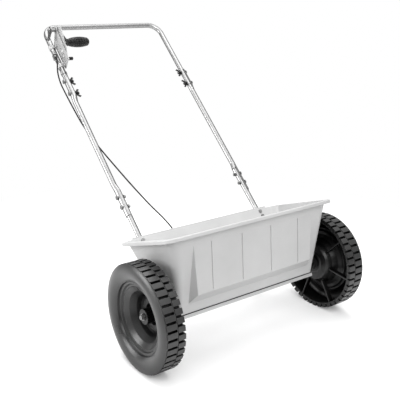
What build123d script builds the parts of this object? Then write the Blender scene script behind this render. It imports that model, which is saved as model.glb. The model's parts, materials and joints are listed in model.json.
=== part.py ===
"""Push-along garden drop spreader: tapered hopper between two lugged wheels, a three-piece
tube handle with a rate lever, and a cable to the shutter under the hopper. Millimetres, +Z up,
+X along the axle to the right, +Y back towards the user, ground at Z = 0."""

import os
from math import cos, pi, radians, sin

from build123d import *

os.makedirs("parts", exist_ok=True)

# ---- stance -------------------------------------------------------------------------------
lean = 18.8              # the hopper and handle lean back about the axle onto the stand, degrees
handle_rake = 62.54      # handle legs above the hopper's own level, degrees

# ---- wheels and axle ----------------------------------------------------------------------
wheel_radius = 140.0
lug_height = 9.0
lug_count = 42
lug_width = 14.0
tread_inner_x = 282.4
tread_outer_x = 336.0
row_gap_x = 304.0        # where the wide outer row of lugs meets the narrow inner row
ridge_width = 2.4
shoulder_width = 5.0     # smooth ring that closes the outer ends of the lugs
shoulder_drop = 1.4       # the ring stands this much lower than the lugs
bulge_x = 342.0          # about the outermost point of the sidewall
hub_face_x = 279.0
hub_inner_x = 262.0
hub_radius = 20.0
wheel_wall = 4.0
rib_count = 7
rib_width = 3.5
rib_from_radius = 60.0
rib_depth = 14.6
axle_radius = 6.0
axle_half = 321.0
bore_fit = 0.05          # radial running clearance on the axle
centre_drill_radius = 1.6
centre_drill_depth = 4.0

# ---- hopper, in its own level frame (y back, z up from the axle) ---------------------------
hopper_low = -18.5
hopper_high = 181.0
end_x_low = 229.6
end_slope = 0.1827       # ends lean outward, mm per mm of height
front_y_low = -36.7
front_slope = -0.4357
corner_low = 8.0
corner_high = 30.0
wall = 2.5
rim_drop = 9.0
rim_out_x = 280.6
rim_front_y = -132.0
rim_back_y = 126.0
rim_corner = 34.0
rim_round = 2.5
back_lip_rise = 5.0
back_lip_half = 236.0
wedge_top = (-111.7, 153.5)
wedge_crease = (-78.5, 26.2)
wedge_merge = (-47.6, 6.5)
wedge_top_x = 200.0
wedge_crease_x = 193.5
wedge_merge_x = 207.0
groove_xs = (-147.0, -49.0, 49.0, 147.0)
groove_width = 3.6
groove_depth = 1.7
groove_low = 30.0
groove_high = 151.0
notch_low_s = -90.0      # notches in the rim for the lower tubes, along the legs
notch_length = 60.0
notch_front_n = 8.4
notch_back_n = -30.0
notch_side = 0.5
boss_radius = 17.0
boss_in_x = 224.0
boss_out_x = 241.0

# ---- metering gear under the hopper ---------------------------------------------------------
hole_count = 19
hole_pitch = 20.0
hole_radius = 5.0
metering_y = -10.0
shutter_travel = 12.0
sheet = 1.5
slide_gap = 0.3
outlet_width = 14.0
outlet_length = 22.0
metering_front_y = -24.5
metering_back_y = 2.5
metering_half = 222.0
shutter_half = 200.0
shutter_front_y = -33.0
shutter_back_y = 3.0
tab_x = -80.0
tab_width = 14.0
tab_back_y = 40.0
rail_half = 230.0
seal_height = 2.5
seal_depth = 3.0
seal_set_back = 0.6
rail_rib = 1.0
rail_depth = 11.0
rail_front_y = -38.0
rail_back_y = 17.7
front_flange_y = -25.0
back_flange_y = 3.0
front_ledge_y = -17.0
back_ledge_y = -3.0
rail_screw_x = 214.0
rail_screw_ys = (-30.0, -11.0, 10.0)
rail_screw_radius = 2.0
rail_screw_head = 4.0
rail_screw_head_height = 2.2

# ---- agitator, bushes, hub hardware ---------------------------------------------------------
star_count = 7
star_pitch = 60.0
star_reach = 14.3
star_hub = 9.0
star_finger = 4.0
star_thickness = 6.0
bush_radius = 9.0
bush_flange_radius = 13.0
bush_flange = 2.5
bush_in_x = 226.0
spacer_radius = 10.0
spacer_gap = 0.3
drive_pin_radius = 2.0
drive_pin_x = 268.0
disc_radius = 19.0
disc_thickness = 5.0
neck_radius = 13.0
knob_in_x = 290.0
knob_out_x = 312.0
knob_radius = 20.0
knob_flute = 2.0
knob_flutes = 16
hub_washer_radius = 9.0
hub_washer = 2.0
end_clip_radius = 8.0
end_clip = 2.5

# ---- handle, in leg coordinates: s up the leg, n square to it towards the front --------------
leg_base_y = 161.2
leg_base_z = 243.5
tube_radius = 8.0
tube_wall = 1.2
seat_gap = 0.05
lower_tube_x = 209.0
lower_tube_foot = -235.0
lower_tube_top = 80.0
middle_tube_x = 213.0
middle_tube_top = 484.0
bottom_lap = 82.0
bar_x = 210.0
bar_n = 4.0
bar_foot = 422.0
bar_top = 691.8
bar_bend = 40.0
top_lap_from = 424.0
lap_shell = 2.4
lap_fit = 0.05
lap_shoulder = 20.0

# ---- fasteners ---------------------------------------------------------------------------
joint_bolt_radius = 3.0
bolt_play = 0.15
bolt_head_radius = 6.5
bolt_head_height = 3.2
top_bolts_s = (430.0, 476.0)
bottom_bolts_s = (30.0, 62.0)
joint_nut_radius = 5.8
joint_nut_height = 5.0
wing_boss_radius = 6.0
wing_boss_height = 9.0
wing_span = 15.0
wing_rise = 15.0
wing_thickness = 2.6
hopper_bolts_s = (-190.0, -100.4, -83.7)
hopper_bolt_radius = 2.5
hopper_head_radius = 5.5
hopper_head_height = 3.0
hopper_nut_radius = 4.6
hopper_nut_height = 4.0

# ---- lever --------------------------------------------------------------------------------
pivot = (633.0, 56.0)
sector_outline = (
    (522.0, 8.0),
    (522.0, 16.0),
    (526.0, 40.0),
    (560.0, 62.0),
    (580.0, 70.0),
    (619.0, 83.0),
    (650.0, 55.0),
    (641.0, 43.0),
    (622.0, 8.0),
)
sector_x = -200.0
sector_thickness = 2.5
sector_slot_radius = 66.0
sector_slot_width = 7.0
sector_slot_from = 188.0
sector_slot_to = 206.0
sector_hole = (556.0, 28.0)
sector_hole_radius = 4.5
sleeve_radius = 5.0
pivot_fit = 0.05
grip_at = (565.0, 75.0)
arm_in_x = -195.5
arm_thickness = 2.0
arm_end_radius = 10.0
arm_half_width = 6.0
grip_end_disc = 7.5
crank_x = -221.5
crank_thickness = 2.5
cable_pin = (627.0, 25.0)
cable_pin_radius = 2.5
cable_pin_end_x = -229.0
grip_rod_radius = 4.0
grip_from_x = -190.0
grip_to_x = -128.0
grip_radius = 15.5
grip_end_radius = 11.5
grip_flutes = 14
grip_flute_radius = 1.7
grip_bore_fit = 0.05
collar_radius = 10.5
collar_from_x = -197.0
pivot_bolt_radius = 3.0
pivot_head_radius = 7.0
pivot_head_height = 3.5
pivot_nut_radius = 5.8
pivot_nut_height = 5.0
stop_arm_x = -204.2
stop_arm_thickness = 2.4
stop_arm_half = 6.0
stop_radius = 108.0
stop_angle = 183.7
stop_knob_radius = 5.0
stop_knob_end_x = -187.0
clamp_s = (534.0, 608.0)
clamp_width = 12.0
clamp_thickness = 2.0
clamp_bolt_radius = 2.0

# ---- cable --------------------------------------------------------------------------------
sheath_radius = 2.1
sheath_bore = 1.15
wire_radius = 0.9
cable_x = -224.0
cable_n = 25.0
sheath_top_s = 572.0
sheath_end_y = 60.0
wire_top_from_s = 556.0
wire_bottom_to_y = 64.0
eyelet_outer = 5.0
eyelet_inner = 3.3
eyelet_thickness = 3.0
ferrule_radius = 3.3
ferrule_length = 9.0
ferrule_step = 1.0
upper_ferrule = 7.0
bracket_s = 562.0
bracket_thickness = 2.5
clip_s = 506.0
clip_width = 7.0
clip_thickness = 1.5
lower_bracket_half = 10.0
lower_bracket_front_y = 8.0
lower_bracket_upright_z = -13.0
lower_bracket_sheet = 2.5

# ---- stand --------------------------------------------------------------------------------
stand_radius = 6.0
stand_wall = 1.2
stand_gap = 0.2
stand_top_s = -139.0
stand_bend_s = -236.0
stand_bend = 30.0
stand_foot_y = 185.0     # the foot bar behind the axle, along the ground
foot_sleeve_radius = 9.0
foot_sleeve_length = 70.0
foot_flat = 0.8          # worn flat that stands on the ground
foot_sleeve_x = 110.0
stand_bolts_s = (-150.0, -212.0)
stand_bolt_radius = 2.5
stand_head_radius = 5.0
stand_head_height = 3.0
stand_nut_radius = 4.6
stand_nut_height = 4.0
plug_flange = 3.0
plug_depth = 12.0
plug_fit = 0.05

# ---- frames ---------------------------------------------------------------------------------
leg_back = cos(radians(handle_rake))
leg_up = sin(radians(handle_rake))
level_y = Vector(0, cos(radians(lean)), -sin(radians(lean)))
level_z = Vector(0, sin(radians(lean)), cos(radians(lean)))
leg_dir = level_y * leg_back + level_z * leg_up
leg_normal = level_z * leg_back - level_y * leg_up
handle_back = (level_y * leg_base_y + level_z * leg_base_z + leg_dir * bar_top + leg_normal * bar_n).Y
axle_y = (wheel_radius - handle_back - tube_radius) / 2
axle_at = Vector(0, axle_y, wheel_radius)
leg_base = axle_at + level_y * leg_base_y + level_z * leg_base_z
x_axis = Vector(1, 0, 0)


def deck(height):
    """Level with the hopper: sketch x along the axle, sketch y back."""
    return Plane(origin=axle_at + level_z * height, x_dir=x_axis, z_dir=level_z)


def side(x):
    """Across the axle: sketch x back and sketch y up in the hopper's frame."""
    return Plane(origin=axle_at + x_axis * x, x_dir=level_y, z_dir=x_axis)


def leg_side(x):
    """Across the axle: sketch x up the leg, sketch y to its front."""
    return Plane(origin=leg_base + x_axis * x, x_dir=leg_dir, z_dir=x_axis)


def leg_cut(s):
    """Square to the leg: sketch x to its front, sketch y along the axle."""
    return Plane(origin=leg_base + leg_dir * s, x_dir=leg_normal, z_dir=leg_dir)


def leg_face(n):
    """Along both legs: sketch x along the axle, sketch y up the leg."""
    return Plane(origin=leg_base + leg_normal * n, x_dir=x_axis, z_dir=leg_normal)


def on_leg(x, s, n):
    return leg_base + x_axis * x + leg_dir * s + leg_normal * n


def on_level(x, y, z):
    return axle_at + x_axis * x + level_y * y + level_z * z


# The back wall lies along the lower tubes, one seat gap clear of them.
back_slope = leg_back / leg_up


def back_y(z):
    return leg_base_y + back_slope * (z - leg_base_z) - (tube_radius + seat_gap) / leg_up


def front_y(z):
    return front_y_low + front_slope * (z - hopper_low)


def end_x(z):
    return end_x_low + end_slope * (z - hopper_low)


def corner(z):
    return corner_low + (corner_high - corner_low) * (z - hopper_low) / (hopper_high - hopper_low)


def trough(inset, low, high, mode):
    """The hopper's tapered body between two heights, every side brought in by inset."""
    outlines = []
    for z in (low, high):
        with BuildSketch(deck(z)) as outline:
            with Locations((0, (front_y(z) + back_y(z)) / 2)):
                RectangleRounded(2 * (end_x(z) - inset), back_y(z) - front_y(z) - 2 * inset,
                                 corner(z) - inset)
        outlines.append(outline.sketch)
    loft(outlines, mode=mode)


def front_wedge(inset):
    """The proud panel across the front, with its two slanted ends, brought in by inset."""
    with BuildPart() as wedge:
        with BuildSketch(side(-wedge_merge_x)):
            with BuildLine():
                Polyline(wedge_top, wedge_crease, wedge_merge, (0.0, 20.0), (-20.0, 140.0), close=True)
            make_face()
            if inset:
                offset(amount=-inset, kind=Kind.INTERSECTION)
        extrude(amount=2 * wedge_merge_x)
        for end in (1, -1):
            top = on_level(end * wedge_top_x, *wedge_top)
            crease = on_level(end * wedge_crease_x, *wedge_crease)
            merge = on_level(end * wedge_merge_x, *wedge_merge)
            out = (crease - top).cross(merge - top).normalized()
            out = out * (1 if out.X * end > 0 else -1)
            split(bisect_by=Plane(origin=top - out * inset, z_dir=out), keep=Keep.BOTTOM)
    return wedge.part


def rod(plane, at, radius, length, mode=Mode.ADD):
    with BuildSketch(plane) as section:
        with Locations(at):
            Circle(radius)
    extrude(section.sketch, amount=length, mode=mode)


hole_xs = [hole_pitch * (i - (hole_count - 1) / 2) for i in range(hole_count)]
wedge_skin = front_wedge(0)
wedge_space = front_wedge(wall)
face_run = (Vector(*wedge_top) - Vector(*wedge_crease)).normalized()
face_out = level_z * face_run.X - level_y * face_run.Y
groove_face = Plane(origin=on_level(0, *wedge_crease), x_dir=x_axis, z_dir=face_out)

# ---- hopper -----------------------------------------------------------------------------------
with BuildPart() as hopper:
    with BuildSketch(deck(hopper_high - rim_drop)):
        with Locations((0, (rim_front_y + rim_back_y) / 2)):
            RectangleRounded(2 * rim_out_x, rim_back_y - rim_front_y, rim_corner)
    extrude(amount=rim_drop)
    fillet(hopper.faces().sort_by(Axis(axle_at, level_z))[-1].edges(), rim_round)
    with BuildSketch(deck(hopper_high - rim_drop)):
        with Locations((0, (rim_front_y + rim_back_y) / 2)):
            RectangleRounded(2 * (rim_out_x - wall), rim_back_y - rim_front_y - 2 * wall,
                             rim_corner - wall)
    extrude(amount=rim_drop - wall, mode=Mode.SUBTRACT)
    trough(0, hopper_low, hopper_high, Mode.ADD)
    add(wedge_skin)
    with BuildSketch(side(-back_lip_half)):
        with BuildLine():
            Polyline((rim_back_y - 1.0, hopper_high - wall), (rim_back_y - 1.0, hopper_high + back_lip_rise),
                     (back_y(hopper_high), hopper_high + back_lip_rise),
                     (back_y(hopper_high) - 3.0, hopper_high - wall), close=True)
        make_face()
    extrude(amount=2 * back_lip_half)
    for end in (1, -1):
        rod(side(end * boss_in_x), (0, 0), boss_radius, end * (boss_out_x - boss_in_x))
    trough(wall, hopper_low + wall, hopper_high + 2 * back_lip_rise, Mode.SUBTRACT)
    add(wedge_space, mode=Mode.SUBTRACT)
    with BuildSketch(leg_cut(notch_low_s)):
        for end in (1, -1):
            with Locations(((notch_front_n + notch_back_n) / 2, end * lower_tube_x)):
                Rectangle(notch_front_n - notch_back_n, 2 * (tube_radius + notch_side))
    extrude(amount=notch_length, mode=Mode.SUBTRACT)
    for end in (1, -1):
        for s in hopper_bolts_s:
            rod(leg_face(tube_radius - 3.0), (end * lower_tube_x, s), hopper_bolt_radius + bolt_play, 9.0,
                Mode.SUBTRACT)
    for end in (1, -1):
        rod(side(end * (boss_in_x - 8.0)), (0, 0), boss_radius, end * 10.0)
        rod(side(end * (boss_in_x - 20.0)), (0, 0), bush_radius, end * 60.0, Mode.SUBTRACT)
    with BuildSketch(groove_face):
        for groove_x in groove_xs:
            run_low = (groove_low - wedge_crease[1]) / face_run.Y
            run_high = (groove_high - wedge_crease[1]) / face_run.Y
            with Locations((groove_x, (run_low + run_high) / 2)):
                SlotOverall(run_high - run_low, groove_width, rotation=90)
    extrude(amount=-groove_depth, mode=Mode.SUBTRACT)
    with BuildSketch(deck(hopper_low)):
        with Locations(*[(x, metering_y) for x in hole_xs]):
            RectangleRounded(outlet_width, outlet_length, 3.0)
    extrude(amount=wall, mode=Mode.SUBTRACT)
    with BuildSketch(deck(hopper_low)):
        with Locations(*[(end * rail_screw_x, y) for end in (1, -1) for y in rail_screw_ys]):
            Circle(rail_screw_radius + bolt_play)
    extrude(amount=wall, mode=Mode.SUBTRACT)

# ---- metering plate, shutter and rails -----------------------------------------------------------
plate_low = hopper_low - sheet
shutter_high = plate_low - slide_gap
ledge_high = shutter_high - sheet - slide_gap
shutter_mid = shutter_high - sheet / 2
shutter_hole_y = metering_y - shutter_travel

with BuildPart() as metering_plate:
    with BuildSketch(deck(plate_low)):
        with Locations((0, (metering_front_y + metering_back_y) / 2)):
            Rectangle(2 * metering_half, metering_back_y - metering_front_y)
        with Locations(*[(x, metering_y) for x in hole_xs]):
            Circle(hole_radius, mode=Mode.SUBTRACT)
        with Locations((rail_screw_x, rail_screw_ys[1]), (-rail_screw_x, rail_screw_ys[1])):
            Circle(rail_screw_radius + bolt_play, mode=Mode.SUBTRACT)
    extrude(amount=sheet)

with BuildPart() as shutter_plate:
    with BuildSketch(deck(shutter_high - sheet)):
        with Locations((0, (shutter_front_y + shutter_back_y) / 2)):
            Rectangle(2 * shutter_half, shutter_back_y - shutter_front_y)
        with Locations((tab_x, (shutter_back_y + tab_back_y) / 2 - 1.0)):
            Rectangle(tab_width, tab_back_y - shutter_back_y + 2.0)
        with Locations(*[(x, shutter_hole_y) for x in hole_xs]):
            Circle(hole_radius, mode=Mode.SUBTRACT)
    extrude(amount=sheet)


# Each rail has a flange under the floor, a web, and a ledge that carries the shutter's edge.
with BuildPart() as rail_front:
    with BuildSketch(side(-rail_half)):
        with BuildLine():
            Polyline(
                (rail_front_y + seal_depth, hopper_low),
                (front_flange_y, hopper_low),
                (front_flange_y, plate_low),
                (rail_front_y + seal_depth + rail_rib, plate_low),
                (rail_front_y + seal_depth + rail_rib, ledge_high),
                (front_ledge_y, ledge_high),
                (front_ledge_y, ledge_high - sheet),
                (rail_front_y + sheet, ledge_high - sheet),
                (rail_front_y + sheet, hopper_low - rail_depth),
                (rail_front_y, hopper_low - rail_depth),
                (rail_front_y, hopper_low - seal_height),
                (rail_front_y + seal_depth, hopper_low - seal_height),
                close=True,
            )
        make_face()
    extrude(amount=2 * rail_half)
    with BuildSketch(deck(plate_low)):
        with Locations((rail_screw_x, rail_screw_ys[0]), (-rail_screw_x, rail_screw_ys[0])):
            Circle(rail_screw_radius + bolt_play)
    extrude(amount=sheet, mode=Mode.SUBTRACT)
    with BuildSketch(deck(ledge_high - sheet)):
        with Locations((rail_screw_x, rail_screw_ys[0]), (-rail_screw_x, rail_screw_ys[0])):
            Rectangle(26.0, 13.0)
    extrude(amount=sheet, mode=Mode.SUBTRACT)

with BuildPart() as rail_back:
    with BuildSketch(side(-rail_half)):
        with BuildLine():
            Polyline(
                (rail_back_y, hopper_low),
                (back_flange_y, hopper_low),
                (back_flange_y, plate_low),
                (rail_back_y - sheet, plate_low),
                (rail_back_y - sheet, ledge_high),
                (back_ledge_y, ledge_high),
                (back_ledge_y, ledge_high - sheet),
                (rail_back_y - sheet, ledge_high - sheet),
                (rail_back_y - sheet, hopper_low - rail_depth),
                (rail_back_y, hopper_low - rail_depth),
                close=True,
            )
        make_face()
    extrude(amount=2 * rail_half)
    with BuildSketch(deck(plate_low)):
        with Locations((rail_screw_x, rail_screw_ys[2]), (-rail_screw_x, rail_screw_ys[2])):
            Circle(rail_screw_radius + bolt_play)
    extrude(amount=sheet, mode=Mode.SUBTRACT)
    with BuildSketch(deck(ledge_high - sheet)):
        with Locations((rail_screw_x, rail_screw_ys[2]), (-rail_screw_x, rail_screw_ys[2])):
            Rectangle(26.0, 12.4)
    extrude(amount=sheet, mode=Mode.SUBTRACT)
    with BuildSketch(deck(shutter_high - sheet - slide_gap)):
        with Locations((tab_x, rail_back_y)):
            Rectangle(tab_width + 2.0, 6.0)
    extrude(amount=sheet + 2 * slide_gap, mode=Mode.SUBTRACT)

with BuildPart() as rail_seal:
    with BuildSketch(side(-rail_half)):
        with Locations((rail_front_y + (seal_depth + seal_set_back) / 2, hopper_low - seal_height / 2)):
            Rectangle(seal_depth - seal_set_back, seal_height)
    extrude(amount=2 * rail_half)

with BuildPart() as rail_screws:
    for end in (1, -1):
        for y in rail_screw_ys:
            rod(deck(plate_low - rail_screw_head_height), (end * rail_screw_x, y), rail_screw_head,
                rail_screw_head_height)
            rod(deck(plate_low), (end * rail_screw_x, y), rail_screw_radius, sheet + wall + 1.0)

# ---- axle, bushes, agitator -----------------------------------------------------------------------
with BuildPart() as axle:
    rod(side(-axle_half), (0, 0), axle_radius, 2 * axle_half)
    chamfer(axle.edges(), 0.8)
    for end in (1, -1):
        rod(side(end * axle_half), (0, 0), centre_drill_radius, -end * centre_drill_depth, Mode.SUBTRACT)
    rod(Plane(origin=axle_at + x_axis * drive_pin_x - level_z * hub_radius, x_dir=x_axis, z_dir=level_z),
        (0, 0), drive_pin_radius, 2 * hub_radius, Mode.SUBTRACT)

with BuildPart() as axle_bushes:
    for end in (1, -1):
        rod(side(end * bush_in_x), (0, 0), bush_radius, end * (boss_out_x - bush_in_x))
        rod(side(end * boss_out_x), (0, 0), bush_flange_radius, end * bush_flange)
        rod(side(end * bush_in_x), (0, 0), axle_radius + bore_fit, end * 40.0, Mode.SUBTRACT)

with BuildPart() as agitator:
    for i in range(star_count):
        star_x = star_pitch * (i - (star_count - 1) / 2)
        with BuildSketch(side(star_x - star_thickness / 2)):
            Circle(star_hub)
            with Locations(*[Location((0, 0), 90.0 * k + 22.5 * i) for k in range(2)]):
                RectangleRounded(2 * star_reach, star_finger, star_finger / 2 - 0.2)
            Circle(axle_radius, mode=Mode.SUBTRACT)
        extrude(amount=star_thickness)

# ---- wheels ----------------------------------------------------------------------------------------
carcass_radius = wheel_radius - lug_height
shoulder_radius = wheel_radius - shoulder_drop
skin_in = tread_inner_x + 1.0

with BuildPart() as wheel:
    with BuildSketch(Plane(origin=axle_at, x_dir=x_axis, z_dir=(0, 1, 0))):
        with BuildLine():
            rim_edge = Polyline((skin_in, carcass_radius - wheel_wall), (skin_in, carcass_radius),
                                (tread_outer_x - shoulder_width, carcass_radius),
                                (tread_outer_x - shoulder_width + 1.0, shoulder_radius),
                                (tread_outer_x, shoulder_radius))
            shoulder = ThreePointArc((tread_outer_x, shoulder_radius), (bulge_x - 0.2, carcass_radius - 10.0),
                                     (bulge_x - 9.6, 95.0))
            Polyline(shoulder @ 1, (327.0, 93.0), (326.5, 88.0), (321.5, 84.5), (321.5, 80.5), (323.0, 78.0),
                     (314.0, 66.0), (298.0, 55.5), (287.0, 51.5), (282.0, 48.0), (282.0, 44.5), (286.5, 41.5),
                     (286.5, 29.0), (hub_face_x, 25.0), (hub_face_x, axle_radius + bore_fit),
                     (hub_inner_x, axle_radius + bore_fit), (hub_inner_x, hub_radius),
                     (hub_face_x - wheel_wall, hub_radius), (hub_face_x - wheel_wall, 29.0),
                     (278.0, 33.0), (278.0, 52.0), (285.0, 55.5), (296.0, 59.5), (311.0, 69.0),
                     (317.5, 78.0), (317.5, 86.5), (322.5, 91.0), (323.0, 96.0), (327.5, 98.5))
            inside = ThreePointArc((327.5, 98.5), (bulge_x - wheel_wall - 1.0, carcass_radius - 14.0),
                                   (tread_outer_x - 4.0, carcass_radius - wheel_wall))
            Line(inside @ 1, rim_edge @ 0)
        make_face()
    revolve(axis=Axis(axle_at, x_axis))
    with BuildSketch(side(row_gap_x + ridge_width / 2)):
        with PolarLocations(wheel_radius - lug_height / 2, lug_count, start_angle=lean - 90.0):
            Rectangle(lug_height + 2.0, lug_width)
        Circle(wheel_radius, mode=Mode.INTERSECT)
    extrude(amount=tread_outer_x - shoulder_width / 2 - row_gap_x - ridge_width / 2)
    with BuildSketch(side(tread_inner_x)):
        with PolarLocations(wheel_radius - lug_height / 2, lug_count,
                            start_angle=lean - 90.0 + 180.0 / lug_count):
            Rectangle(lug_height + 2.0, lug_width)
        Circle(wheel_radius, mode=Mode.INTERSECT)
    extrude(amount=row_gap_x - ridge_width / 2 - tread_inner_x)
    with BuildSketch(side(row_gap_x - ridge_width / 2)):
        Circle(wheel_radius - 1.5)
        Circle(carcass_radius - 1.0, mode=Mode.SUBTRACT)
    extrude(amount=ridge_width)
    with BuildSketch(side(skin_in + 2.0)):
        with PolarLocations(0, rib_count):
            with Locations(((rib_from_radius + carcass_radius - wheel_wall / 2) / 2, 0)):
                Rectangle(carcass_radius - wheel_wall / 2 - rib_from_radius, rib_width)
    extrude(amount=rib_depth)

with BuildPart() as wheel_left:
    mirror(wheel.part, about=Plane.YZ)

# Only the right wheel is pinned to the axle; the left one turns freely on it.
with BuildPart() as wheel_right:
    add(wheel.part)
    rod(Plane(origin=axle_at + x_axis * drive_pin_x - level_z * hub_radius, x_dir=x_axis, z_dir=level_z),
        (0, 0), drive_pin_radius, 2 * hub_radius, Mode.SUBTRACT)

with BuildPart() as drive_pin:
    rod(Plane(origin=axle_at + x_axis * drive_pin_x - level_z * (hub_radius - 0.2), x_dir=x_axis,
              z_dir=level_z), (0, 0), drive_pin_radius, 2 * (hub_radius - 0.2))

with BuildPart() as axle_spacers:
    for end in (1, -1):
        start = boss_out_x + bush_flange + spacer_gap
        with BuildSketch(side(end * start)):
            Circle(spacer_radius)
            Circle(axle_radius, mode=Mode.SUBTRACT)
        extrude(amount=end * (hub_inner_x - spacer_gap - start))

with BuildPart() as hub_knobs:
    for end in (1, -1):
        rod(side(end * (hub_face_x + spacer_gap)), (0, 0), disc_radius, end * disc_thickness)
        rod(side(end * (hub_face_x + spacer_gap)), (0, 0), neck_radius, end * (knob_in_x - hub_face_x))
        with BuildSketch(side(end * knob_in_x)):
            Circle(knob_radius)
            with PolarLocations(knob_radius + 0.6, knob_flutes):
                Circle(knob_flute, mode=Mode.SUBTRACT)
        extrude(amount=end * (knob_out_x - knob_in_x))
        rod(side(end * hub_face_x), (0, 0), axle_radius, end * 60.0, Mode.SUBTRACT)

with BuildPart() as hub_washers:
    for end in (1, -1):
        with BuildSketch(side(end * knob_out_x)):
            Circle(hub_washer_radius)
            Circle(axle_radius, mode=Mode.SUBTRACT)
        extrude(amount=end * hub_washer)
        with BuildSketch(side(end * (knob_out_x + hub_washer))):
            Circle(end_clip_radius)
            Circle(axle_radius, mode=Mode.SUBTRACT)
        extrude(amount=end * end_clip)

# ---- handle tubes ---------------------------------------------------------------------------------
bolt_hole = joint_bolt_radius + bolt_play


def cross_hole(x, s, n, radius):
    """A hole right through a leg along the axle's direction."""
    rod(leg_side(x - 20.0), (s, n), radius, 40.0, Mode.SUBTRACT)


def ring(plane, at, outer, inner, length):
    with BuildSketch(plane) as section:
        with Locations(at):
            Circle(outer)
            Circle(inner, mode=Mode.SUBTRACT)
    extrude(section.sketch, amount=length)


with BuildPart() as lower_tube_right:
    ring(leg_cut(lower_tube_foot), (0, lower_tube_x), tube_radius, tube_radius - tube_wall,
         lower_tube_top - lower_tube_foot)
    for s in bottom_bolts_s:
        cross_hole(lower_tube_x, s, 0, bolt_hole)
    for s in stand_bolts_s:
        cross_hole(lower_tube_x, s, 0, stand_bolt_radius + bolt_play)
    for s in hopper_bolts_s:
        rod(leg_face(-20.0), (lower_tube_x, s), hopper_bolt_radius + bolt_play, 40.0, Mode.SUBTRACT)

with BuildPart() as lower_tube_left:
    mirror(lower_tube_right.part, about=Plane.YZ)

lap_outer = tube_radius + lap_fit + lap_shell
lap_inner = tube_radius + lap_fit


def lap_outline(at_x, at_n, outer, inner):
    """Half a shell on the outer side of the tube it holds, closed across the inner side."""
    Polyline((at_n + inner, at_x), (at_n + outer, at_x))
    ThreePointArc((at_n + outer, at_x), (at_n, at_x + outer), (at_n - outer, at_x))
    Polyline((at_n - outer, at_x), (at_n - inner, at_x))


def lap(at_x, at_n, low, high):
    with BuildSketch(leg_cut(low)) as shell:
        with BuildLine():
            lap_outline(at_x, at_n, lap_outer, lap_inner)
            ThreePointArc((at_n - lap_inner, at_x), (at_n, at_x + lap_inner), (at_n + lap_inner, at_x))
        make_face()
    extrude(shell.sketch, amount=high - low)


def lap_end(at_x, at_n, start, finish):
    """The pressed shoulder that runs from the half shell back to the round tube."""
    with BuildSketch(leg_cut(start)) as held:
        with BuildLine():
            lap_outline(at_x, at_n, lap_outer, lap_inner)
            ThreePointArc((at_n - lap_inner, at_x), (at_n, at_x - lap_inner), (at_n + lap_inner, at_x))
        make_face()
    slant = radians(20.0)
    rim = [(tube_radius * sin(a), middle_tube_x + tube_radius * cos(a))
           for a in (pi / 2 + slant, pi / 2 - slant, 0.0, slant - pi / 2, -slant - pi / 2, pi)]
    with BuildSketch(leg_cut(finish)) as free:
        with BuildLine():
            ThreePointArc(rim[0], (tube_radius, middle_tube_x), rim[1])
            ThreePointArc(rim[1], rim[2], rim[3])
            ThreePointArc(rim[3], (-tube_radius, middle_tube_x), rim[4])
            ThreePointArc(rim[4], rim[5], rim[0])
        make_face()
    loft([held.sketch, free.sketch])


shoulder_low = bottom_lap + lap_shoulder
shoulder_high = top_lap_from - 4.0 - lap_shoulder

with BuildPart() as middle_tube_right:
    ring(leg_cut(shoulder_low), (0, middle_tube_x), tube_radius, tube_radius - tube_wall,
         shoulder_high - shoulder_low)
    lap(lower_tube_x, 0, 0, bottom_lap)
    lap_end(lower_tube_x, 0, bottom_lap, shoulder_low)
    lap(bar_x, bar_n, top_lap_from - 4.0, middle_tube_top)
    lap_end(bar_x, bar_n, top_lap_from - 4.0, shoulder_high)
    for s in bottom_bolts_s:
        cross_hole(lower_tube_x + 10.0, s, 0, bolt_hole)
    for s in top_bolts_s:
        cross_hole(bar_x + 10.0, s, bar_n, bolt_hole)

with BuildPart() as middle_tube_left:
    mirror(middle_tube_right.part, about=Plane.YZ)

with BuildPart() as handle_u_bar:
    with BuildLine(leg_face(bar_n)) as bar_path:
        FilletPolyline((-bar_x, bar_foot), (-bar_x, bar_top), (bar_x, bar_top), (bar_x, bar_foot),
                       radius=bar_bend)
    with BuildSketch(bar_path.line ^ 0):
        Circle(tube_radius)
        Circle(tube_radius - tube_wall, mode=Mode.SUBTRACT)
    sweep()
    for end in (1, -1):
        for s in top_bolts_s:
            cross_hole(end * bar_x, s, bar_n, bolt_hole)

# ---- joint bolts, nuts and wing nuts -----------------------------------------------------------------
with BuildPart() as top_joint_bolts:
    for end in (1, -1):
        for s in top_bolts_s:
            rod(leg_side(end * (bar_x + lap_outer)), (s, bar_n), bolt_head_radius, end * bolt_head_height)
            rod(leg_side(end * (bar_x + lap_outer)), (s, bar_n), joint_bolt_radius,
                -end * (lap_outer + tube_radius + wing_boss_height + 3.0))

with BuildPart() as wing_nuts:
    for end in (1, -1):
        for s in top_bolts_s:
            with BuildSketch(leg_side(end * (bar_x - tube_radius))):
                with Locations((s, bar_n)):
                    Circle(wing_boss_radius)
            extrude(amount=-end * wing_boss_height, taper=4)
            with BuildSketch(leg_face(bar_n - wing_thickness / 2)):
                for turn in (1, -1):
                    with BuildLine():
                        Polyline(
                            (end * (bar_x - tube_radius - 1.0), s + turn * 2.0),
                            (end * (bar_x - tube_radius - 1.5), s + turn * 7.0),
                            (end * (bar_x - tube_radius - wing_rise + 5.0), s + turn * wing_span),
                            (end * (bar_x - tube_radius - wing_rise), s + turn * (wing_span - 3.5)),
                            (end * (bar_x - tube_radius - wing_boss_height + 1.0), s + turn * 6.0),
                            (end * (bar_x - tube_radius - wing_boss_height + 1.0), s + turn * 2.0),
                            close=True,
                        )
                    make_face()
            extrude(amount=wing_thickness)
            rod(leg_side(end * bar_x), (s, bar_n), joint_bolt_radius, -end * 40.0, Mode.SUBTRACT)

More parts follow.
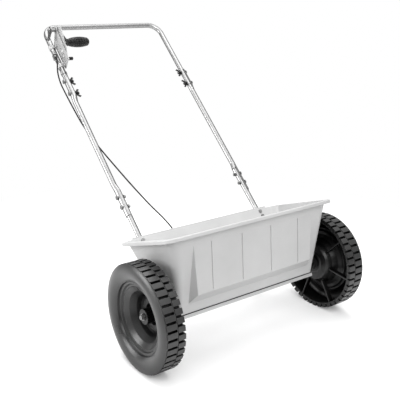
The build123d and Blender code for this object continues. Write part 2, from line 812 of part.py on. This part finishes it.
with BuildPart() as bottom_joint_bolts:
    for end in (1, -1):
        for s in bottom_bolts_s:
            rod(leg_side(end * (lower_tube_x + lap_outer)), (s, 0), bolt_head_radius, end * bolt_head_height)
            rod(leg_side(end * (lower_tube_x + lap_outer)), (s, 0), joint_bolt_radius,
                -end * (lap_outer + tube_radius + joint_nut_height + 2.0))

with BuildPart() as bottom_joint_nuts:
    for end in (1, -1):
        for s in bottom_bolts_s:
            with BuildSketch(leg_side(end * (lower_tube_x - tube_radius))):
                with Locations((s, 0)):
                    RegularPolygon(joint_nut_radius, 6)
                    Circle(joint_bolt_radius, mode=Mode.SUBTRACT)
            extrude(amount=-end * joint_nut_height)

wall_inner_n = tube_radius + seat_gap + wall * leg_up
with BuildPart() as hopper_bolts:
    for end in (1, -1):
        for s in hopper_bolts_s:
            rod(leg_face(wall_inner_n), (end * lower_tube_x, s), hopper_head_radius, hopper_head_height)
            rod(leg_face(wall_inner_n), (end * lower_tube_x, s), hopper_bolt_radius,
                -(wall_inner_n + tube_radius + hopper_nut_height + 1.5))

with BuildPart() as hopper_bolt_nuts:
    for end in (1, -1):
        for s in hopper_bolts_s:
            with BuildSketch(leg_face(-tube_radius)):
                with Locations((end * lower_tube_x, s)):
                    RegularPolygon(hopper_nut_radius, 6)
                    Circle(hopper_bolt_radius, mode=Mode.SUBTRACT)
            extrude(amount=-hopper_nut_height)

# ---- stand ------------------------------------------------------------------------------------------
stand_x = lower_tube_x - tube_radius - stand_radius - stand_gap
ground = -wheel_radius
foot_height = ground + foot_sleeve_radius - foot_flat
foot_drop = axle_at + Vector(0, stand_foot_y, foot_height)

with BuildPart() as stand:
    with BuildLine() as stand_path:
        FilletPolyline(
            on_leg(-stand_x, stand_top_s, 0),
            on_leg(-stand_x, stand_bend_s, 0),
            foot_drop - x_axis * stand_x,
            foot_drop + x_axis * stand_x,
            on_leg(stand_x, stand_bend_s, 0),
            on_leg(stand_x, stand_top_s, 0),
            radius=stand_bend,
        )
    with BuildSketch(stand_path.line ^ 0):
        Circle(stand_radius)
        Circle(stand_radius - stand_wall, mode=Mode.SUBTRACT)
    sweep()
    for end in (1, -1):
        for s in stand_bolts_s:
            cross_hole(end * stand_x, s, 0, stand_bolt_radius + bolt_play)

with BuildPart() as stand_bolts:
    for end in (1, -1):
        for s in stand_bolts_s:
            rod(leg_side(end * (lower_tube_x + tube_radius)), (s, 0), stand_head_radius,
                end * stand_head_height)
            rod(leg_side(end * (lower_tube_x + tube_radius)), (s, 0), stand_bolt_radius,
                -end * (2 * tube_radius + stand_gap + 2 * stand_radius + stand_nut_height + 1.5))

with BuildPart() as stand_nuts:
    for end in (1, -1):
        for s in stand_bolts_s:
            with BuildSketch(leg_side(end * (stand_x - stand_radius))):
                with Locations((s, 0)):
                    RegularPolygon(stand_nut_radius, 6)
                    Circle(stand_bolt_radius, mode=Mode.SUBTRACT)
            extrude(amount=-end * stand_nut_height)

with BuildPart() as foot_sleeves:
    for end in (1, -1):
        sleeve_plane = Plane(origin=foot_drop + x_axis * (end * foot_sleeve_x - foot_sleeve_length / 2),
                             x_dir=level_y, z_dir=x_axis)
        ring(sleeve_plane, (0, 0), foot_sleeve_radius, stand_radius, foot_sleeve_length)
    split(bisect_by=Plane.XY, keep=Keep.TOP)

with BuildPart() as tube_plugs:
    for end in (1, -1):
        rod(leg_cut(lower_tube_foot), (0, end * lower_tube_x), tube_radius, -plug_flange)
        rod(leg_cut(lower_tube_foot), (0, end * lower_tube_x), tube_radius - tube_wall - plug_fit, plug_depth)

# ---- rate lever ------------------------------------------------------------------------------------------
pivot_s, pivot_n = pivot


def polar(radius, angle):
    return (pivot_s + radius * cos(radians(angle)), pivot_n + radius * sin(radians(angle)))


with BuildPart() as lever_bracket:
    with BuildSketch(leg_side(sector_x)):
        with BuildLine():
            Polyline(*sector_outline, close=True)
        make_face()
        with Locations(pivot):
            Circle(sleeve_radius + pivot_fit, mode=Mode.SUBTRACT)
        with Locations(sector_hole):
            Circle(sector_hole_radius, mode=Mode.SUBTRACT)
        with BuildLine():
            slot_arc = CenterArc(pivot, sector_slot_radius, sector_slot_from,
                                 sector_slot_to - sector_slot_from)
        SlotArc(slot_arc, sector_slot_width, mode=Mode.SUBTRACT)
        for s in clamp_s:
            with Locations((s, bar_n + tube_radius + clamp_thickness + 4.0)):
                Circle(clamp_bolt_radius + bolt_play, mode=Mode.SUBTRACT)
    extrude(amount=sector_thickness)

with BuildPart() as bracket_clamps:
    for s in clamp_s:
        with BuildSketch(leg_cut(s - clamp_width / 2)):
            with Locations((bar_n, -bar_x)):
                Circle(tube_radius + clamp_thickness)
                with Locations((tube_radius + 2.0, 8.0)):
                    Rectangle(12.0, clamp_thickness * 2)
                Circle(tube_radius, mode=Mode.SUBTRACT)
        extrude(amount=clamp_width)

arm_reach = (Vector(*grip_at) - Vector(*pivot)).normalized()
arm_across = Vector(-arm_reach.Y, arm_reach.X) * arm_half_width

with BuildPart() as lever_arm:
    with BuildSketch(leg_side(arm_in_x)):
        with BuildLine():
            Polyline(Vector(*pivot) + arm_across, Vector(*grip_at) + arm_across,
                     Vector(*grip_at) - arm_across, Vector(*pivot) - arm_across, close=True)
        make_face()
        with Locations(pivot):
            Circle(arm_end_radius)
        with Locations(grip_at):
            Circle(grip_end_disc)
    extrude(amount=arm_thickness)
    rod(leg_side(crank_x), pivot, sleeve_radius, arm_in_x - crank_x)
    with BuildSketch(leg_side(crank_x)):
        with Locations(pivot):
            Circle(arm_end_radius)
        with Locations(cable_pin):
            Circle(6.0)
        with BuildLine():
            Polyline((pivot_s - 9.0, pivot_n), (pivot_s + 9.0, pivot_n), (cable_pin[0] + 5.8, cable_pin[1]),
                     (cable_pin[0] - 5.8, cable_pin[1]), close=True)
        make_face()
    extrude(amount=crank_thickness)
    rod(leg_side(arm_in_x), grip_at, grip_rod_radius, grip_to_x - arm_in_x - 6.0)
    rod(leg_side(crank_x - 5.0), pivot, pivot_bolt_radius + bolt_play, 60.0, Mode.SUBTRACT)
    rod(leg_side(crank_x), cable_pin, cable_pin_radius, crank_thickness, Mode.SUBTRACT)

with BuildPart() as lever_cable_pin:
    rod(leg_side(cable_pin_end_x), cable_pin, cable_pin_radius, crank_x + crank_thickness - cable_pin_end_x)

with BuildPart() as lever_pivot_bolt:
    rod(leg_side(arm_in_x + arm_thickness), pivot, pivot_head_radius, pivot_head_height)
    rod(leg_side(crank_x - pivot_nut_height - 2.0), pivot, pivot_bolt_radius,
        arm_in_x + arm_thickness - crank_x + pivot_nut_height + 2.0)

with BuildPart() as lever_pivot_nut:
    with BuildSketch(leg_side(crank_x)):
        with Locations(pivot):
            RegularPolygon(pivot_nut_radius, 6)
            Circle(pivot_bolt_radius, mode=Mode.SUBTRACT)
    extrude(amount=-pivot_nut_height)

grip_plane = Plane(origin=on_leg(0, *grip_at), x_dir=x_axis, z_dir=leg_normal)
with BuildPart() as lever_grip:
    with BuildSketch(grip_plane):
        with BuildLine():
            Polyline((grip_to_x, grip_end_radius - 3.0), (grip_to_x, 0), (grip_from_x, 0),
                     (grip_from_x, grip_end_radius), (grip_from_x + 5.0, grip_end_radius + 1.5))
            belly = ThreePointArc((grip_from_x + 5.0, grip_end_radius + 1.5),
                                  ((grip_from_x + grip_to_x) / 2, grip_radius),
                                  (grip_to_x - 4.0, grip_end_radius + 0.5))
            Line(belly @ 1, (grip_to_x, grip_end_radius - 3.0))
        make_face()
    revolve(axis=Axis(on_leg(0, *grip_at), x_axis))
    with BuildSketch(leg_side(grip_from_x + 4.0)):
        with Locations(grip_at):
            with PolarLocations(grip_radius + 0.3, grip_flutes):
                Circle(grip_flute_radius)
    extrude(amount=grip_to_x - grip_from_x - 8.0, mode=Mode.SUBTRACT)
    rod(leg_side(grip_from_x), grip_at, grip_rod_radius + grip_bore_fit, grip_to_x - grip_from_x - 5.8,
        Mode.SUBTRACT)

# The collar is moulded over the arm's end: a blind cup from outside, open to the rod inside.
with BuildPart() as grip_collar:
    rod(leg_side(collar_from_x), grip_at, collar_radius, grip_from_x - collar_from_x)
    with BuildSketch(leg_side(arm_in_x)):
        with BuildLine():
            Polyline(Vector(*pivot) + arm_across, Vector(*grip_at) + arm_across,
                     Vector(*grip_at) - arm_across, Vector(*pivot) - arm_across, close=True)
        make_face()
        with Locations(grip_at):
            Circle(grip_end_disc)
    extrude(amount=arm_thickness, mode=Mode.SUBTRACT)
    rod(leg_side(arm_in_x), grip_at, grip_rod_radius + grip_bore_fit, 20.0, Mode.SUBTRACT)

with BuildPart() as rate_stop_arm:
    with BuildSketch(leg_side(stop_arm_x)):
        with Locations(pivot):
            Circle(arm_end_radius)
        with BuildLine():
            Polyline(polar(stop_arm_half, stop_angle + 90.0),
                     polar(stop_radius + 6.0, stop_angle + 3.0),
                     polar(stop_radius + 6.0, stop_angle - 3.0),
                     polar(stop_arm_half, stop_angle - 90.0), close=True)
        make_face()
        with Locations(pivot):
            Circle(sleeve_radius + pivot_fit, mode=Mode.SUBTRACT)
        with Locations(polar(stop_radius, stop_angle)):
            Circle(2.0, mode=Mode.SUBTRACT)
    extrude(amount=stop_arm_thickness)

with BuildPart() as rate_stop_knob:
    stop_at = polar(stop_radius, stop_angle)
    knob_start = stop_arm_x + stop_arm_thickness
    rod(leg_side(stop_arm_x), stop_at, 2.0, stop_arm_thickness)
    rod(leg_side(knob_start), stop_at, stop_knob_radius, stop_knob_end_x - knob_start)
    chamfer(rate_stop_knob.faces().sort_by(Axis.X)[-1].edges(), 0.8)

# ---- cable ------------------------------------------------------------------------------------------------
sheath_points = [
    on_leg(cable_x, sheath_top_s, cable_n),
    on_leg(cable_x, 540.0, cable_n),
    on_leg(-226.0, 518.0, 0.0),
    on_leg(-222.0, 490.0, -18.0),
    on_leg(-220.0, 440.0, -19.0),
    on_leg(-218.0, 390.0, -17.5),
    on_leg(-214.0, 330.0, -17.0),
    on_level(-201.4, 277.5, 452.1),
    on_level(-181.0, 239.0, 387.0),
    on_level(-161.4, 203.0, 326.4),
    on_level(-136.3, 166.0, 261.2),
    on_level(-113.0, 144.0, 217.0),
    on_level(-96.4, 131.0, 180.0),
    on_level(-86.0, 121.0, 135.0),
    on_level(-82.0, 117.5, 95.0),
    on_level(-80.0, 119.0, 55.0),
    on_level(-79.5, 123.0, 20.0),
    on_level(-80.0, 110.0, -8.0),
    on_level(-80.0, 88.0, shutter_mid),
    on_level(-80.0, sheath_end_y, shutter_mid),
]
sheath_bends = []
for before, at, after in zip(sheath_points, sheath_points[1:], sheath_points[2:]):
    turn = radians((at - before).get_angle(after - at))
    shorter = min((at - before).length, (after - at).length)
    sheath_bends.append(0.45 * shorter * cos(turn / 2) / sin(turn / 2))
print("sheath bend radii, mm:", [round(r) for r in sheath_bends])

with BuildPart() as cable_sheath:
    with BuildLine() as sheath_path:
        FilletPolyline(*sheath_points, radius=sheath_bends)
    with BuildSketch(sheath_path.line ^ 0):
        Circle(sheath_radius)
        Circle(sheath_bore, mode=Mode.SUBTRACT)
    sweep()
sheath_length = sum(edge.length for edge in sheath_path.edges())
sheath_section = pi * (sheath_radius ** 2 - sheath_bore ** 2)
print("sheath length, mm:", round(sheath_length))
print("sheath volume over section times length:",
      round(cable_sheath.part.volume / (sheath_section * sheath_length), 4))

with BuildPart() as wire_top:
    rod(leg_cut(wire_top_from_s), (cable_n, cable_x), wire_radius, cable_pin[0] - eyelet_inner - 0.6
        - wire_top_from_s)
    ring(leg_side(cable_x - eyelet_thickness / 2), cable_pin, eyelet_outer, eyelet_inner, eyelet_thickness)

with BuildPart() as wire_bottom:
    rod(Plane(origin=on_level(tab_x, tab_back_y, shutter_mid), x_dir=x_axis, z_dir=level_y), (0, 0),
        wire_radius, wire_bottom_to_y - tab_back_y)

with BuildPart() as cable_bracket_top:
    with BuildSketch(leg_cut(bracket_s)):
        with BuildLine():
            Polyline((bar_n - 4.0, -bar_x - 4.0), (bar_n - 4.0, -bar_x - tube_radius - 3.0),
                     (cable_n - 7.0, cable_x - 6.0), (cable_n + 6.0, cable_x - 6.0),
                     (cable_n + 6.0, cable_x + 6.0), (bar_n + tube_radius + 3.0, -bar_x - 3.0), close=True)
        make_face()
        with Locations((bar_n, -bar_x)):
            Circle(tube_radius, mode=Mode.SUBTRACT)
        with Locations((cable_n, cable_x)):
            Circle(sheath_radius, mode=Mode.SUBTRACT)
    extrude(amount=bracket_thickness)

lower_bracket_z = hopper_low - rail_depth
with BuildPart() as cable_bracket_bottom:
    with BuildSketch(side(tab_x - lower_bracket_half)):
        with BuildLine():
            Polyline(
                (lower_bracket_front_y, lower_bracket_z),
                (sheath_end_y, lower_bracket_z),
                (sheath_end_y, lower_bracket_upright_z),
                (sheath_end_y + lower_bracket_sheet, lower_bracket_upright_z),
                (sheath_end_y + lower_bracket_sheet, lower_bracket_z - lower_bracket_sheet),
                (lower_bracket_front_y, lower_bracket_z - lower_bracket_sheet),
                close=True,
            )
        make_face()
    extrude(amount=2 * lower_bracket_half)
    along_cable = Plane(origin=on_level(tab_x, sheath_end_y, shutter_mid), x_dir=x_axis, z_dir=level_y)
    rod(along_cable, (0, 0), sheath_radius, lower_bracket_sheet, Mode.SUBTRACT)

# The outer turns of the cable's end fittings grip the sheath and seat on each bracket.
with BuildPart() as cable_ferrules:
    ring(leg_cut(bracket_s + bracket_thickness), (cable_n, cable_x), ferrule_radius, sheath_radius,
         ferrule_length - ferrule_step)
    ring(leg_cut(bracket_s - upper_ferrule), (cable_n, cable_x), ferrule_radius, sheath_radius,
         upper_ferrule)
    lower_end = Plane(origin=on_level(tab_x, sheath_end_y + lower_bracket_sheet, shutter_mid),
                      x_dir=x_axis, z_dir=level_y)
    ring(lower_end, (0, 0), ferrule_radius, sheath_radius, ferrule_length)

with BuildPart() as cable_clip:
    ring(leg_cut(clip_s - clip_width / 2), (bar_n, -bar_x), tube_radius + clip_thickness, tube_radius,
         clip_width)

nodes = {
    "hopper": hopper,
    "metering_plate": metering_plate,
    "shutter_plate": shutter_plate,
    "rail_front": rail_front,
    "rail_back": rail_back,
    "rail_seal": rail_seal,
    "rail_screws": rail_screws,
    "axle": axle,
    "axle_bushes": axle_bushes,
    "axle_spacers": axle_spacers,
    "agitator": agitator,
    "wheel_right": wheel_right,
    "wheel_left": wheel_left,
    "drive_pin": drive_pin,
    "hub_knobs": hub_knobs,
    "hub_washers": hub_washers,
    "lower_tube_right": lower_tube_right,
    "lower_tube_left": lower_tube_left,
    "middle_tube_right": middle_tube_right,
    "middle_tube_left": middle_tube_left,
    "handle_u_bar": handle_u_bar,
    "tube_plugs": tube_plugs,
    "top_joint_bolts": top_joint_bolts,
    "wing_nuts": wing_nuts,
    "bottom_joint_bolts": bottom_joint_bolts,
    "bottom_joint_nuts": bottom_joint_nuts,
    "hopper_bolts": hopper_bolts,
    "hopper_bolt_nuts": hopper_bolt_nuts,
    "stand": stand,
    "stand_bolts": stand_bolts,
    "stand_nuts": stand_nuts,
    "foot_sleeves": foot_sleeves,
    "lever_bracket": lever_bracket,
    "bracket_clamps": bracket_clamps,
    "lever_arm": lever_arm,
    "lever_cable_pin": lever_cable_pin,
    "lever_pivot_bolt": lever_pivot_bolt,
    "lever_pivot_nut": lever_pivot_nut,
    "lever_grip": lever_grip,
    "grip_collar": grip_collar,
    "rate_stop_arm": rate_stop_arm,
    "rate_stop_knob": rate_stop_knob,
    "cable_bracket_top": cable_bracket_top,
    "cable_bracket_bottom": cable_bracket_bottom,
    "cable_sheath": cable_sheath,
    "cable_ferrules": cable_ferrules,
    "cable_clip": cable_clip,
    "wire_top": wire_top,
    "wire_bottom": wire_bottom,
}
for node, piece in nodes.items():
    piece.part.label = node
    export_step(piece.part, f"parts/{node}.step")
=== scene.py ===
import json
from math import pi, radians

import bpy
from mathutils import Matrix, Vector


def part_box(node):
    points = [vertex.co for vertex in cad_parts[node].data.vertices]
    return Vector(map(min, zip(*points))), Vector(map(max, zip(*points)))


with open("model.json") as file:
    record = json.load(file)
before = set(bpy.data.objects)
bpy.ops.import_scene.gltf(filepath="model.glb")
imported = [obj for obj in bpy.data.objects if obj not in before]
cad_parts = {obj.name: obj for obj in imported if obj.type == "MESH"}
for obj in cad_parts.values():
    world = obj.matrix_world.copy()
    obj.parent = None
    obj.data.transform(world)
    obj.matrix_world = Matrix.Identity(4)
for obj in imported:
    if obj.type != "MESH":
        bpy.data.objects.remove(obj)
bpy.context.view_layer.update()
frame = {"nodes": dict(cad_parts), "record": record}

# ---- the object's own frames, in metres ---------------------------------------------------
LEAN = radians(18.8)   # the parked spreader leans back by this
RAKE = radians(62.54)  # the handle legs rise this steeply from the hopper's level
axle_lo, axle_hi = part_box("axle")
AXLE = Vector((0, (axle_lo[1] + axle_hi[1]) / 2, (axle_lo[2] + axle_hi[2]) / 2))

# ---- materials --------------------------------------------------------------------------------
def material(name, base, rough, metal=0.0, spec=0.5):
    m = bpy.data.materials.new(name)
    m.use_nodes = True
    b = m.node_tree.nodes["Principled BSDF"]
    b.inputs["Base Color"].default_value = (*base, 1)
    b.inputs["Roughness"].default_value = rough
    b.inputs["Metallic"].default_value = metal
    b.inputs["Specular IOR Level"].default_value = spec
    return m, m.node_tree.nodes, m.node_tree.links, b


def coords(nodes, links, scale=(1, 1, 1), rotation=(0, 0, 0)):
    tc = nodes.new("ShaderNodeTexCoord")
    mp = nodes.new("ShaderNodeMapping")
    mp.inputs["Scale"].default_value = scale
    mp.inputs["Rotation"].default_value = rotation
    links.new(tc.outputs["Object"], mp.inputs["Vector"])
    return mp.outputs["Vector"]


def noise(nodes, links, vector, scale, detail=4.0, rough=0.5):
    n = nodes.new("ShaderNodeTexNoise")
    n.inputs["Scale"].default_value = scale
    n.inputs["Detail"].default_value = detail
    n.inputs["Roughness"].default_value = rough
    links.new(vector, n.inputs["Vector"])
    return n.outputs["Fac"]


def ramp(nodes, links, fac, stops):
    r = nodes.new("ShaderNodeValToRGB")
    els = r.color_ramp.elements
    while len(els) < len(stops):
        els.new(0.5)
    for e, (pos, col) in zip(els, stops):
        e.position = pos
        e.color = (*col, 1)
    links.new(fac, r.inputs["Fac"])
    return r.outputs["Color"]


def grey(v):
    return (v, v, v)


def maprange(nodes, links, fac, lo, hi, a=0.0, b=1.0):
    m = nodes.new("ShaderNodeMapRange")
    m.inputs["From Min"].default_value = a
    m.inputs["From Max"].default_value = b
    m.inputs["To Min"].default_value = lo
    m.inputs["To Max"].default_value = hi
    links.new(fac, m.inputs["Value"])
    return m.outputs["Result"]


def bump(nodes, links, height, distance, strength, bsdf, normal=None):
    b = nodes.new("ShaderNodeBump")
    b.inputs["Distance"].default_value = distance
    b.inputs["Strength"].default_value = strength
    links.new(height, b.inputs["Height"])
    if normal is not None:
        links.new(normal, b.inputs["Normal"])
    links.new(b.outputs["Normal"], bsdf.inputs["Normal"])


def edge_wear(nodes, links, size=0.0012):
    """1 along edges, from the difference between bevelled and true normals."""
    bev = nodes.new("ShaderNodeBevel")
    bev.samples = 4
    bev.inputs["Radius"].default_value = size
    geo = nodes.new("ShaderNodeNewGeometry")
    dot = nodes.new("ShaderNodeVectorMath")
    dot.operation = "DOT_PRODUCT"
    links.new(bev.outputs["Normal"], dot.inputs[0])
    links.new(geo.outputs["Normal"], dot.inputs[1])
    return maprange(nodes, links, dot.outputs["Value"], 0.0, 1.0, 1.0, 0.9)


def mix(nodes, links, fac, a, b):
    m = nodes.new("ShaderNodeMix")
    m.data_type = "RGBA"
    links.new(fac, m.inputs["Factor"])
    for sock, v in (("A", a), ("B", b)):
        s = [i for i in m.inputs if i.name == sock and i.type == "RGBA"][0]
        if isinstance(v, tuple):
            s.default_value = (*v, 1)
        else:
            links.new(v, s)
    return [o for o in m.outputs if o.type == "RGBA"][0]


def soft_edges(nodes, size):
    """Moulded corners are never sharp: shade them as a small round."""
    bev = nodes.new("ShaderNodeBevel")
    bev.samples = 6
    bev.inputs["Radius"].default_value = size
    return bev.outputs["Normal"]


def crevices(nodes, links, reach):
    """Mask for painted shade: 1 in the open, falling to 0 down in gaps and corners narrower than reach."""
    ao = nodes.new("ShaderNodeAmbientOcclusion")
    ao.samples = 8
    ao.inputs["Distance"].default_value = reach
    return maprange(nodes, links, ao.outputs["AO"], 0.0, 1.0, 0.30, 0.95)


def moulded(name, dark, light, rough, grain=900.0, depth=0.00012, edge=None, spec=0.45, edge_size=0.0012,
            crevice_shade_reach=None):
    """Moulded plastic: fine spark texture, faint flow clouds, softened edges, and painted shade darkening
    its crevices.
    """
    m, n, l, b = material(name, light, rough, spec=spec)
    v = coords(n, l)
    clouds = noise(n, l, v, 9.0, 5.0, 0.55)
    fine = noise(n, l, v, grain, 3.0, 0.6)
    col = ramp(n, l, clouds, [(0.3, dark), (0.7, light)])
    if edge is not None:
        wear = edge_wear(n, l)
        rough_spots = noise(n, l, v, 60.0, 4.0, 0.6)
        mul = n.new("ShaderNodeMath")
        mul.operation = "MULTIPLY"
        l.new(wear, mul.inputs[0])
        l.new(rough_spots, mul.inputs[1])
        col = mix(n, l, mul.outputs[0], col, edge)
    if crevice_shade_reach is not None:
        # painted shade: the base colour darkens and the specular drops down in gaps and crevices, where
        # shade falls
        open_air = crevices(n, l, crevice_shade_reach)
        col = mix(n, l, open_air, tuple(0.12 * c for c in dark), col)
        l.new(maprange(n, l, open_air, 0.25 * spec, spec), b.inputs["Specular IOR Level"])
    l.new(col, b.inputs["Base Color"])
    l.new(maprange(n, l, clouds, rough - 0.06, rough + 0.08, 0.3, 0.7), b.inputs["Roughness"])
    bump(n, l, fine, depth, 0.6, b, soft_edges(n, edge_size))
    return m


def ribbed(name, dark, light, rough, pitch, depth):
    """Soft black grip plastic with rings moulded round it, one every pitch along X, the grooves between the
    rings painted darker as shade.
    """
    m, n, l, b = material(name, light, rough, spec=0.4)
    v = coords(n, l)
    rings = n.new("ShaderNodeTexWave")
    rings.bands_direction = "X"
    rings.inputs["Scale"].default_value = pi / 10 / pitch
    rings.inputs["Distortion"].default_value = 0.0
    l.new(v, rings.inputs["Vector"])
    # painted shade: the colour follows the ring relief, darker down in the grooves
    l.new(ramp(n, l, rings.outputs["Fac"], [(0.1, dark), (0.9, light)]), b.inputs["Base Color"])
    l.new(maprange(n, l, noise(n, l, v, 400.0), rough - 0.05, rough + 0.1, 0.3, 0.7), b.inputs["Roughness"])
    bump(n, l, rings.outputs["Fac"], depth, 0.9, b, soft_edges(n, 0.0005))
    return m


def facing(nodes, links, power):
    """0 seen square on, rising to 1 where the surface turns away."""
    w = nodes.new("ShaderNodeLayerWeight")
    w.inputs["Blend"].default_value = 0.5
    p = nodes.new("ShaderNodeMath")
    p.operation = "POWER"
    p.inputs[1].default_value = power
    links.new(w.outputs["Facing"], p.inputs[0])
    return p.outputs[0]


def plated(name, dark, light, rough, along=None, metal=1.0, edge=0.45, relief=0.00002,
           turn=1.8):
    """Zinc-plated steel, with drawn lines along the piece, slight clouding and a painted dark reflection
    where the surface turns away.
    """
    m, n, l, b = material(name, light, rough, metal)
    v = coords(n, l)
    clouds = noise(n, l, v, 22.0, 5.0, 0.6)
    col = ramp(n, l, clouds, [(0.32, dark), (0.68, light)])
    # painted reflection: the colour darkens towards edges turning away from view, in place of dark
    # surroundings reflected there
    col = mix(n, l, facing(n, l, turn), col, tuple(c * edge for c in light))
    l.new(col, b.inputs["Base Color"])
    scratch = noise(n, l, coords(n, l, *(along or ((300, 300, 300), (0, 0, 0)))), 1.0, 6.0, 0.65)
    l.new(maprange(n, l, scratch, rough - 0.08, rough + 0.14, 0.3, 0.7), b.inputs["Roughness"])
    bump(n, l, scratch, relief, 0.2, b)
    return m


tube_angle = LEAN - RAKE  # the legs' rise above the ground, as a turn about X
hopper_mat = moulded("hopper_plastic", grey(0.43), grey(0.48), 0.36, 1400.0, 0.00006, grey(0.60))
# the wheel carries painted shade in the gaps between its lugs and in its recesses
wheel_mat = moulded("wheel_plastic", grey(0.020), grey(0.032), 0.32, 900.0, 0.00010, grey(0.12), spec=0.5,
                    edge_size=0.0016, crevice_shade_reach=0.14)
black_mat = moulded("black_plastic", grey(0.002), grey(0.005), 0.3, 1200.0, 0.0001, grey(0.02), spec=0.25)
grip_mat = ribbed("grip_plastic", grey(0.0005), grey(0.006), 0.3, 0.0085, 0.0026)
rubber_mat = moulded("black_rubber", grey(0.015), grey(0.03), 0.7, 700.0, 0.0002, grey(0.07))
cable_mat = moulded("cable_black", grey(0.004), grey(0.008), 0.42, 1500.0, 0.00005, spec=0.25)
tube_mat = plated("tube_steel", grey(0.48), grey(0.54), 0.3, ((140, 140, 4), (tube_angle, 0, 0)), metal=0.9,
                  edge=0.03, relief=0.000004, turn=0.7)
zinc_mat = plated("zinc_steel", grey(0.32), grey(0.42), 0.28, edge=0.15, relief=0.000004, turn=1.0)
plate_mat = plated("plate_steel", grey(0.50), grey(0.54), 0.5, metal=0.4, edge=0.4, relief=0.000002)
wire_mat = plated("wire_steel", grey(0.5), grey(0.64), 0.3, ((2500, 2500, 2500), (0, 0, 0)))
MATS = {
    "hopper_plastic": hopper_mat, "wheel_plastic": wheel_mat, "black_plastic": black_mat,
    "grip_plastic": grip_mat, "black_rubber": rubber_mat, "cable_black": cable_mat,
    "tube_steel": tube_mat, "zinc_steel": zinc_mat, "plate_steel": plate_mat, "wire_steel": wire_mat,
}
slots = {sp["node"]: sp["material_slot"] for sp in frame["record"]["subparts"]}
for node, obj in frame["nodes"].items():
    obj.data.materials.clear()
    obj.data.materials.append(MATS[slots[node]])


# ---- camera, floor and light -------------------------------------------------------------------
cam_data = bpy.data.cameras.new("camera")
cam_data.lens = 58.32
cam_data.sensor_width = 36.0
cam_data.dof.use_dof = False
cam = bpy.data.objects.new("camera", cam_data)
bpy.context.collection.objects.link(cam)
cam.location = Vector((-1.0533, -1.2385, 0.8883)) + Vector((0, AXLE.y, 0))
cam.rotation_euler = (radians(72.72), 0, radians(-36.42))
bpy.context.scene.camera = cam

bpy.ops.mesh.primitive_plane_add(size=14, location=(0, 0, 0))
floor = bpy.context.object
floor.name = "floor"
fm, fn, fl, fb = material("floor_white", grey(0.93), 0.75, spec=0.2)
fl.new(ramp(fn, fl, noise(fn, fl, coords(fn, fl), 3.0), [(0.0, grey(0.92)), (1.0, grey(0.94))]),
       fb.inputs["Base Color"])
# the sweep is lit evenly: past the spreader's shadow it runs out to plain white
sweep = fn.new("ShaderNodeVectorMath")
sweep.operation = "LENGTH"
fl.new(coords(fn, fl), sweep.inputs[0])
white = fn.new("ShaderNodeEmission")
blend = fn.new("ShaderNodeMixShader")
fl.new(maprange(fn, fl, sweep.outputs["Value"], 0.12, 1.0, 0.7, 1.3), blend.inputs["Fac"])
fl.new(fb.outputs["BSDF"], blend.inputs[1])
fl.new(white.outputs["Emission"], blend.inputs[2])
fl.new(blend.outputs["Shader"], fn["Material Output"].inputs["Surface"])
floor.data.materials.append(fm)

world = bpy.data.worlds.new("studio")
bpy.context.scene.world = world
world.use_nodes = True
bg = world.node_tree.nodes["Background"]
bg.inputs["Color"].default_value = (1, 1, 1, 1)
wn, wl = world.node_tree.nodes, world.node_tree.links
# light comes from overhead and falls off to the horizon; the camera itself sees plain white
sky = wn.new("ShaderNodeSeparateXYZ")
wl.new(wn.new("ShaderNodeTexCoord").outputs["Generated"], sky.inputs["Vector"])
height = maprange(wn, wl, sky.outputs["Z"], 0.20, 1.15, 0.0, 0.85)
seen = wn.new("ShaderNodeMix")
wl.new(wn.new("ShaderNodeLightPath").outputs["Is Camera Ray"], seen.inputs["Factor"])
wl.new(height, seen.inputs["A"])
seen.inputs["B"].default_value = 1.0
wl.new(seen.outputs["Result"], bg.inputs["Strength"])


def area(name, at, target, size, power):
    d = bpy.data.lights.new(name, "AREA")
    d.shape = "RECTANGLE"
    d.size, d.size_y = size
    d.energy = power
    o = bpy.data.objects.new(name, d)
    bpy.context.collection.objects.link(o)
    o.location = at
    o.rotation_euler = (Vector(target) - Vector(at)).to_track_quat("-Z", "Y").to_euler()


area("key", (-0.6, -2.6, 2.6), (0, 0, 0.3), (2.0, 2.0), 58)
area("top", (0.3, 0.9, 3.4), (0, 0, 0.2), (3.4, 3.4), 105)
area("side", (-2.3, 0.9, 0.9), (0, 0, 0.2), (1.2, 1.2), 40)
bpy.context.scene.view_settings.view_transform = "Standard"
